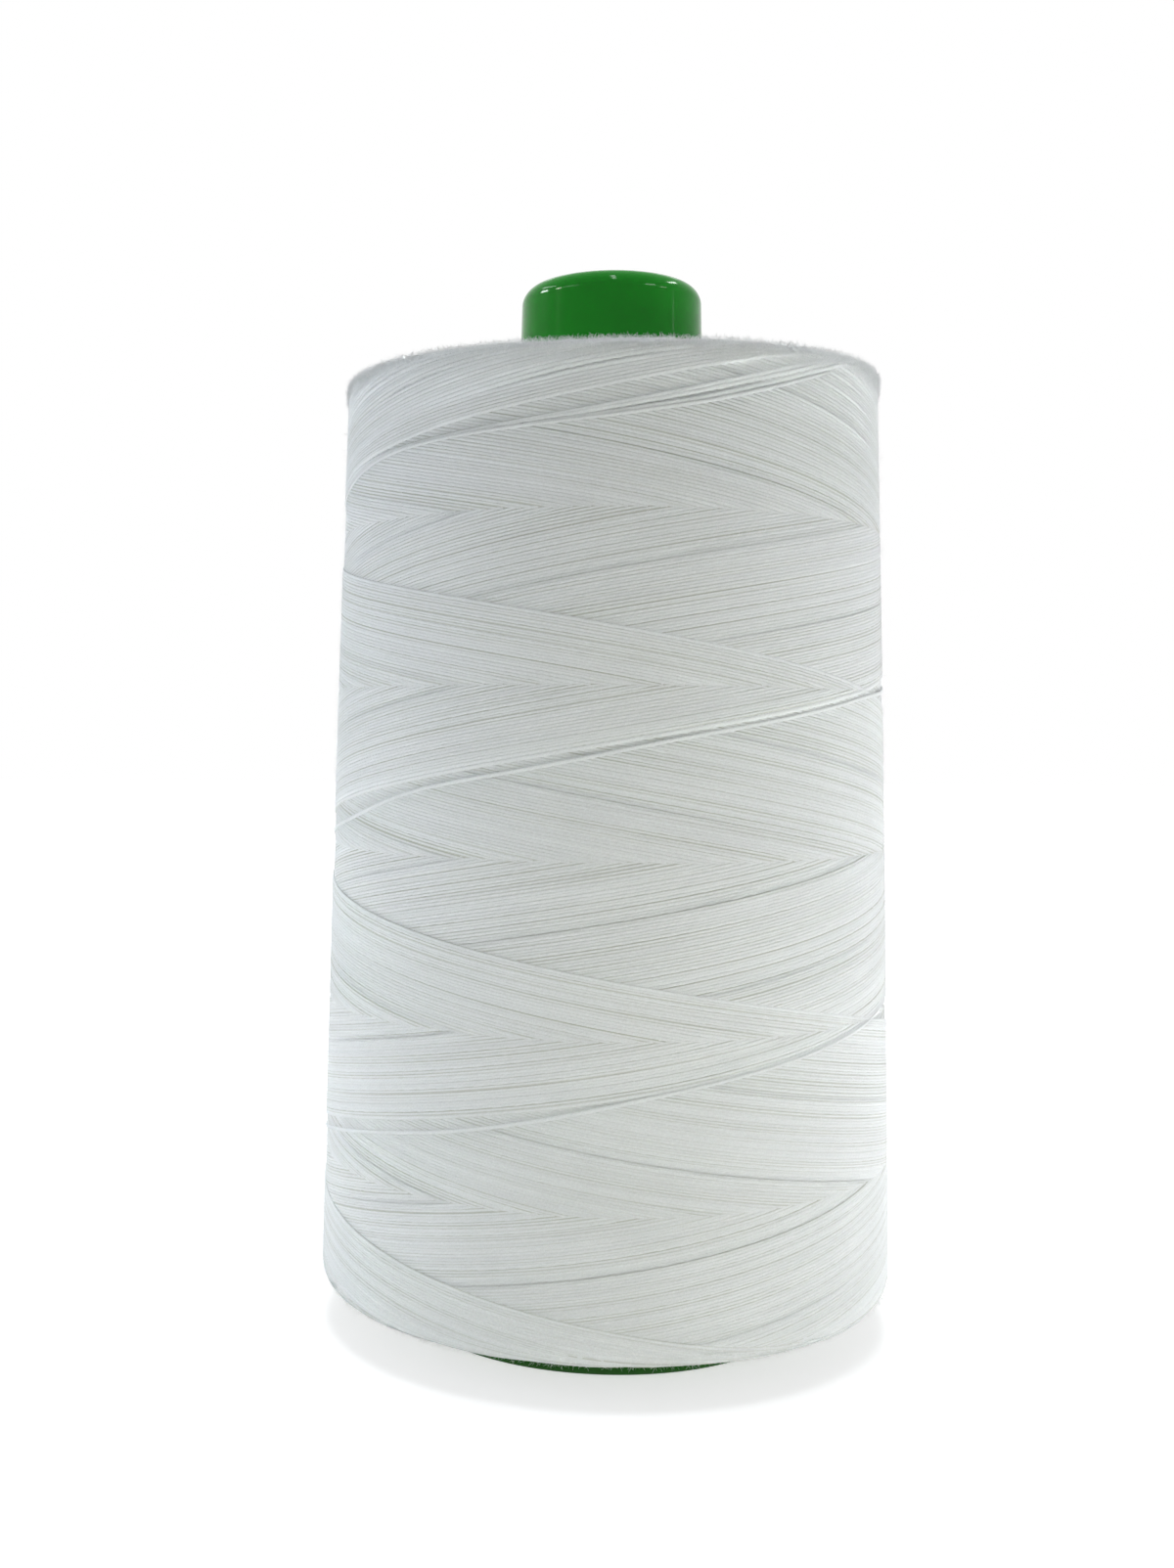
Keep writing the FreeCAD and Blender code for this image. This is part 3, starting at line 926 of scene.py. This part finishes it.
class ConeMakeWinding(bpy.types.Operator):
    """Winds the outer layers of thread, as one thread cut into a few pieces"""

    bl_idname = "thread_cone.winding"
    bl_label = "Outer Winding"

    def execute(self, context):
        thread = context.scene.thread_sizes
        material = spun_thread(thread.yarn, thread.furrow)
        tree = winding_tree()
        outline, zero_run, _ = outline_mesh()
        for number in range(thread.parts):
            first = -thread.strokes * (1.0 - number / thread.parts)
            last = -thread.strokes * (1.0 - (number + 1) / thread.parts)
            name = "outer_winding_%d" % (number + 1)
            piece = run_tree(name, tree, outline, winding_values(first, last, zero_run), material)
            place(piece, "thread", "thread_winding")
        wrap = run_tree("last_wrap_thread", tree, outline, winding_values(0.0, 0.5, zero_run), material)
        place(wrap, "thread", "last_wrap")
        return {"FINISHED"}


def rim_lift(turn, height):
    """How much higher a point lies than on a winding with a level edge, by its angle and its height."""
    near_rim = min(max((height - RIM_START) / RIM_SPAN, 0.0), 1.0)
    return (RIM_TILT * math.sin(turn) - RIM_SADDLE * math.cos(2 * turn)) * near_rim ** 2


class ConeMakeInnerLayers(bpy.types.Operator):
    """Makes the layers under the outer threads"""

    bl_idname = "thread_cone.inner_layers"
    bl_label = "Inner Layers"

    def execute(self, context):
        sides = 160
        points, _ = package_outline(inset=0.75 * MM)
        columns = []
        for side in range(sides):
            turn = TURN * side / sides
            columns.append((turn, [(x, z + rim_lift(turn, z)) for x, z in points]))
        mesh = lathe("inner_layers", columns, closed=False)
        piece = new_piece("inner_layers", mesh, packed_thread(context.scene.thread_sizes.yarn))
        place(piece, "thread")
        return {"FINISHED"}


# The end faces, where the thread turns back at every layer


END_INPUTS = {
    "count": ["Arcs", "Arcs per layer", "Points"],
    "length": ["Start run", "Layer run", "Dip", "Width", "Thickness"],
    "share": ["Half arc", "Seed"],
}


def end_tree():
    """Short arcs of thread side by side on an end face, each dipping out of sight at both ends."""
    tree = GeometryWriter("Turning threads", END_INPUTS)
    given = tree.given
    seed = given["Seed"]
    index = tree.out("GeometryNodeInputIndex")
    number = (index / given["Points"]).floor()
    spot = index - number * given["Points"]
    layer = (number / given["Arcs per layer"]).floor()
    sway = spot / (given["Points"] - 1.0) * 2.0 - 1.0
    reach = given["Half arc"] * (tree.random(number, seed + 1.0) * 0.25 + 1.0)
    middle = number / given["Arcs per layer"] + layer * 0.381 + tree.random(number, seed + 2.0) * 0.02
    turn = middle + sway * reach
    loose = tree.random(number, seed + 3.0) * 0.22 + sway * tree.random(number, seed + 4.0) * 0.25
    run = given["Start run"] + given["Layer run"] * (layer + 0.5 + loose)
    sink = sway.squared() * given["Dip"] * (tree.random(number, seed + 5.0) * 0.2 + 1.0)
    rise = (tree.random(number, seed + 6.0) + 1.0) * 0.08 * MM
    depth = given["Thickness"] / 2.0 + sink + rise
    points = tree.line(given["Arcs"] * given["Points"])
    placed = tree.out(
        "GeometryNodeSetPosition", {0: points, "Position": tree.on_outline(run, turn, depth)}
    )
    placed = tree.store(placed, "run", turn * 0.2)
    placed = tree.store(placed, "tone", tree.random(number, seed + 7.0))
    # Painted shade in the furrows beside each arc, of uneven strength.
    placed = tree.store(placed, "parting", tree.random(number, seed + 9.0) * 0.2 + 0.3)

    # The edge from one arc's last point to the next arc's first point is cut.
    at_end = 1.0 - (spot / (given["Points"] - 1.0)).below(0.999)
    ends = {"Index": tree.out("GeometryNodeInputMeshEdgeVertices"), "Value": at_end}
    between_arcs = tree.out("GeometryNodeFieldAtIndex", ends, data_type="FLOAT", domain="POINT")
    cut = tree.out(
        "GeometryNodeDeleteGeometry", {0: placed, "Selection": between_arcs}, domain="EDGE", mode="EDGE_FACE"
    )
    path = tree.out("GeometryNodeMeshToCurve", {0: cut})
    return tree.finish(tree.sweep(path, THREAD_SIDES))


class ConeMakeEnds(bpy.types.Operator):
    """Covers both end faces with the arcs where the thread turned back"""

    bl_idname = "thread_cone.ends"
    bl_label = "End Faces"

    def execute(self, context):
        thread = context.scene.thread_sizes
        material = bpy.data.materials["spun_thread"]
        tree = end_tree()
        outline, _, full_run = outline_mesh()
        points, _ = package_outline()
        low_face = math.dist(points[0], points[1])
        high_face = math.dist(points[-1], points[-2])
        layer_run = 0.40 * MM

        # Each face's name, its start on the outline, its width, its arcs in a layer and half an arc in turns
        faces = (
            ("lower_end", 0.0, low_face + 1.5 * MM, 18, 0.060),
            ("upper_end", full_run - high_face - 1.5 * MM, high_face + 1.3 * MM, 14, 0.064),
        )
        for name, start, span, arcs, half in faces:
            layers = int(span / layer_run)
            values = {
                "Arcs": layers * arcs,
                "Arcs per layer": arcs,
                "Points": 11,
                "Start run": start,
                "Layer run": layer_run,
                "Half arc": half,
                "Dip": 1.0 * MM,
                "Width": thread.width,
                "Thickness": thread.width,
                "Seed": END_SEED,
            }
            piece = run_tree(name, tree, outline, values, material)
            place(piece, "thread")
        return {"FINISHED"}


# Lint


LINT_INPUTS = {
    "count": ["Fibres"],
    "length": ["Start run", "Run", "Length", "Radius"],
    "share": ["Spread", "Seed"],
}


def lint_tree():
    """Short curved fibres scattered over a band of the package's outline."""
    tree = GeometryWriter("Lint", LINT_INPUTS)
    given = tree.given
    seed = given["Seed"]
    index = tree.out("GeometryNodeInputIndex")
    turn = tree.random(index, seed + 1.0) * 0.5
    run = given["Start run"] + given["Run"] * (tree.random(index, seed + 2.0) * 0.5 + 0.5)
    points = tree.out(
        "GeometryNodeSetPosition",
        {0: tree.line(given["Fibres"]), "Position": tree.on_outline(run, turn, 0.1 * MM)},
    )
    bend = tree.out(
        "GeometryNodeCurvePrimitiveBezierSegment",
        {
            "Resolution": 2,
            "Start": (0.0, 0.0, 0.0),
            "Start Handle": (0.0, 0.0, 0.4),
            "End Handle": (0.3, 0.1, 0.8),
            "End": (0.55, 0.0, 0.9),
        },
    )
    ring = tree.out(
        "GeometryNodeCurvePrimitiveCircle", {"Resolution": 3, "Radius": given["Radius"] / given["Length"]}
    )
    fibre = tree.out("GeometryNodeCurveToMesh", {"Curve": bend, "Profile Curve": ring, "Fill Caps": True})
    out_x = (turn * TURN).sine()
    out_y = -((turn * TURN).cosine())
    lean = given["Spread"]
    way = tree.xyz(
        out_x * lean + tree.random(index, seed + 3.0) * 0.8,
        out_y * lean + tree.random(index, seed + 4.0) * 0.8,
        (1.0 - lean) + tree.random(index, seed + 5.0) * 0.8,
    )
    aimed = tree.out("FunctionNodeAlignRotationToVector", {"Vector": way}, axis="Z")
    spin = tree.out(
        "FunctionNodeAxisAngleToRotation",
        {"Axis": (0.0, 0.0, 1.0), "Angle": tree.random(index, seed + 6.0) * math.pi},
    )
    rotation = tree.out(
        "FunctionNodeRotateRotation", {"Rotation": aimed, "Rotate By": spin}, rotation_space="LOCAL"
    )
    size = given["Length"] * (tree.random(index, seed + 7.0) * 0.45 + 0.65)
    hairs = tree.out(
        "GeometryNodeInstanceOnPoints",
        {"Points": points, "Instance": fibre, "Rotation": rotation, "Scale": tree.xyz(size, size, size)},
    )
    return tree.finish(hairs)


class ConeMakeLint(bpy.types.Operator):
    """Scatters loose fibres along the upper edge, the lower edge and the side"""

    bl_idname = "thread_cone.lint"
    bl_label = "Lint"

    def execute(self, context):
        thread = context.scene.thread_sizes
        material = lint_fibre(thread.yarn)
        tree = lint_tree()
        outline, zero_run, _ = outline_mesh()

        # Each band's name, its fibres, where it starts on the outline, its width, the fibres' length in
        # millimetres and how far they lean outwards; past 1 they also hang down
        bands = (
            ("lint_upper_edge_1", 13500, thread.top_height - 0.8 * MM + zero_run, 2.2 * MM, 0.85, 0.35),
            ("lint_upper_edge_2", 13500, thread.top_height - 1.6 * MM + zero_run, 2.4 * MM, 0.60, 0.5),
            ("lint_upper_edge_3", 13500, thread.top_height - 3.0 * MM + zero_run, 3.0 * MM, 0.45, 0.7),
            ("lint_side", 4800, thread.base_height + 3 * MM + zero_run, 142 * MM, 0.6, 0.9),
            ("lint_lower_edge", 5000, 9 * MM, 10 * MM, 0.7, 1.3),
        )
        for number, (name, fibres, start, run, size, spread) in enumerate(bands):
            values = {
                "Fibres": fibres,
                "Start run": start,
                "Run": run,
                "Length": size * MM,
                "Radius": 0.017 * MM,
                "Spread": spread,
                "Seed": LINT_SEED + number,
            }
            piece = run_tree(name, tree, outline, values, material)
            place(piece, "thread")
        return {"FINISHED"}


# The studio


def white_to_camera(writer, lit, shown):
    """The first value for rays that light, the second for the camera, reflections and glass."""
    path = writer.node("ShaderNodeLightPath")
    seen = Value(writer, path.outputs["Is Camera Ray"])
    glossy = Value(writer, path.outputs["Is Glossy Ray"])
    glass = Value(writer, path.outputs["Is Transmission Ray"])
    factor = seen.at_least(glossy).at_least(glass)
    return factor.choose(shown, lit)


def make_world(scene):
    """Soft light from all round: white where it is seen, dimmer where it lights."""
    world = bpy.data.worlds.new("studio_world")
    world.use_nodes = True
    world.node_tree.nodes.clear()
    writer = Writer(world.node_tree)
    strength = white_to_camera(writer, 0.18, 1.0)
    back = writer.out("ShaderNodeBackground", {"Color": (1.0, 1.0, 1.0, 1.0), "Strength": strength})
    writer.node("ShaderNodeOutputWorld", {0: back})
    scene.world = world


def make_floor(colour):
    """A wide pale floor that fades to white for the camera and keeps the cone's shadow."""
    size = 3.0
    mesh = bpy.data.meshes.new("floor")
    corners = [(-size, -size, 0.0), (size, -size, 0.0), (size, size, 0.0), (-size, size, 0.0)]
    mesh.from_pydata(corners, [], [(0, 1, 2, 3)])
    values = {"Roughness": 0.9, "Specular IOR Level": 0.0, "Emission Color": (1.0, 1.0, 1.0, 1.0)}
    material, writer, shader = new_material("pale_floor", values)
    spot = writer.out("ShaderNodeTexCoord", output=3)
    speck = noise(writer, spot, 40.0, 3.0, 0.5)
    writer.feed(shader.inputs["Base Color"], mix(writer, speck, tint(colour, 0.99), tint(colour, 1.01)))
    across, deep, _ = writer.split(spot)
    distance = writer.math("SQRT", across.squared() + deep.squared())
    glow = distance.between(60 * MM, 450 * MM) * 0.40 + 0.60
    writer.feed(shader.inputs["Emission Strength"], white_to_camera(writer, 0.0, glow))
    mesh.materials.append(material)
    floor = bpy.data.objects.new("floor", mesh)
    bpy.context.scene.collection.objects.link(floor)


def lamp(name, azimuth, elevation, distance, width, height, watts, tone=(1.0, 1.0, 1.0), lights="all"):
    """A soft lamp that the camera doesn't see, aimed at the cone from a direction; 0, 0 is the front."""
    light = bpy.data.lights.new(name, "AREA")
    light.shape = "RECTANGLE"
    light.size = width
    light.size_y = height
    light.energy = watts
    light.color = tone
    around = math.radians(azimuth)
    up = math.radians(elevation)
    way = Vector((math.sin(around) * math.cos(up), -math.cos(around) * math.cos(up), math.sin(up)))
    holder = bpy.data.objects.new(name, light)
    holder.location = Vector((0.0, 0.0, CONE_HEIGHT / 2)) + way * distance
    holder.rotation_euler = (-way).to_track_quat("-Z", "Y").to_euler()
    holder.visible_camera = False
    holder.visible_glossy = lights != "surface"
    holder.visible_diffuse = lights != "gloss"
    bpy.context.scene.collection.objects.link(holder)


def make_lamps():
    """Boxes and low strips round the cone, two boxes overhead, and small panels that only gloss shows."""
    lamp("left_box", -95, 3, 0.45, 0.26, 0.20, 0.47, (0.80, 0.87, 1.00), "surface")
    lamp("left_low_strip", -100, -20, 0.20, 0.20, 0.03, 0.095, (1.00, 1.00, 0.97))
    lamp("right_box", 96, 0, 0.45, 0.26, 0.16, 0.26, (0.90, 0.93, 1.00), "surface")
    lamp("right_low_strip", 100, -20, 0.20, 0.20, 0.03, 0.135, (0.98, 0.97, 1.00))
    lamp("right_front_strip", 55, -9, 0.40, 0.20, 0.04, 0.17, (1.00, 1.00, 0.90))
    lamp("front_low_strip", 5, -16, 0.24, 0.24, 0.03, 0.115, (1.00, 1.00, 0.88))
    lamp("back_strip", 180, -9, 0.40, 0.30, 0.04, 0.25)
    lamp("top_box", 0, 88, 0.80, 0.40, 0.40, 3.0, (0.93, 0.965, 1.00), "surface")
    lamp("back_top_box", 180, 62, 0.80, 0.50, 0.50, 1.8, (0.96, 0.98, 1.00), "surface")
    lamp("ceiling_strip", -2, 66, 0.90, 0.05, 0.40, 1.0, (0.95, 0.99, 1.0), "gloss")
    lamp("crown_line", 174, 42, 0.90, 0.50, 0.05, 0.20, (0.95, 0.99, 1.0), "gloss")
    lamp("left_bright_spot", -103, 26.5, 1.00, 0.20, 0.06, 1.70, (0.93, 0.98, 1.0), "gloss")
    lamp("left_second_spot", -78, 26.5, 1.00, 0.12, 0.05, 0.80, (1.0, 0.98, 0.90), "gloss")
    lamp("left_wide_spot", -103, 38.0, 1.00, 0.42, 0.06, 1.00, (0.93, 0.98, 1.0), "gloss")
    lamp("left_faint_spot", -60, 29.0, 1.00, 0.33, 0.04, 0.35, (0.93, 0.98, 1.0), "gloss")
    lamp("left_streak", -78, 19.5, 1.00, 0.02, 0.12, 0.006, (0.93, 0.98, 1.0), "gloss")
    lamp("right_wide_spot", 102, 47.5, 1.00, 0.30, 0.08, 1.60, (0.98, 1.0, 1.0), "gloss")
    lamp("right_front_spot", 46, 30.5, 1.00, 0.22, 0.04, 0.60, (0.98, 1.0, 1.0), "gloss")
    lamp("right_faint_spot", 64, 26.5, 1.00, 0.14, 0.04, 0.30, (1.0, 0.98, 0.90), "gloss")
    lamp("right_streak", 79, 19.5, 1.00, 0.015, 0.12, 0.03, (0.98, 1.0, 1.0), "gloss")


def make_camera(scene, studio):
    """The camera at the photograph's place."""
    data = bpy.data.cameras.new("camera")
    data.sensor_width = 36.0
    data.lens = studio.lens
    data.shift_x = studio.shift
    data.clip_start = 0.01
    data.clip_end = 20.0
    holder = bpy.data.objects.new("camera", data)
    place_matrix = Matrix.Translation((-studio.camera_left, -studio.camera_back, studio.camera_height))
    turned = Matrix.Rotation(-studio.turn, 4, "Z") @ Matrix.Rotation(math.pi / 2 - studio.tilt, 4, "X")
    holder.matrix_world = place_matrix @ turned @ Matrix.Rotation(studio.roll, 4, "Z")
    scene.collection.objects.link(holder)
    scene.camera = holder


class ConeMakeStudio(bpy.types.Operator):
    """Sets up the floor, the lamps and the camera"""

    bl_idname = "thread_cone.studio"
    bl_label = "Studio"

    def execute(self, context):
        scene = context.scene
        make_world(scene)
        make_floor(scene.studio_sizes.floor)
        make_lamps()
        make_camera(scene, scene.studio_sizes)
        scene.view_settings.view_transform = "Standard"
        return {"FINISHED"}


STEPS = (
    ConeMakeCore,
    ConeMakeRibs,
    ConeMakeInnerLayers,
    ConeMakeWinding,
    ConeMakeEnds,
    ConeMakeLint,
    ConeMakeStudio,
)
SIZES = {"cone_sizes": ConeSizes, "thread_sizes": ThreadSizes, "studio_sizes": StudioSizes}


class ConePanel(bpy.types.Panel):
    """Lists the steps that build the thread cone"""

    bl_idname = "VIEW3D_PT_thread_cone"
    bl_label = "Thread Cone"
    bl_space_type = "VIEW_3D"
    bl_region_type = "UI"
    bl_category = "Thread Cone"

    def draw(self, context):
        for step in STEPS:
            self.layout.operator(step.bl_idname)
        for name, group in SIZES.items():
            box = self.layout.box()
            for prop in group.__annotations__:
                box.prop(getattr(context.scene, name), prop)


def register():
    for group in SIZES.values():
        bpy.utils.register_class(group)
    for step in STEPS:
        bpy.utils.register_class(step)
    bpy.utils.register_class(ConePanel)
    for name, group in SIZES.items():
        setattr(bpy.types.Scene, name, PointerProperty(type=group))


def unregister():
    for name in SIZES:
        delattr(bpy.types.Scene, name)
    bpy.utils.unregister_class(ConePanel)
    for step in reversed(STEPS):
        bpy.utils.unregister_class(step)
    for group in reversed(SIZES.values()):
        bpy.utils.unregister_class(group)


def main():
    """Builds every piece in order."""
    register()
    bpy.ops.thread_cone.core()
    bpy.ops.thread_cone.ribs()
    bpy.ops.thread_cone.inner_layers()
    bpy.ops.thread_cone.winding()
    bpy.ops.thread_cone.ends()
    bpy.ops.thread_cone.lint()
    bpy.ops.thread_cone.studio()


if __name__ == "__main__":
    main()
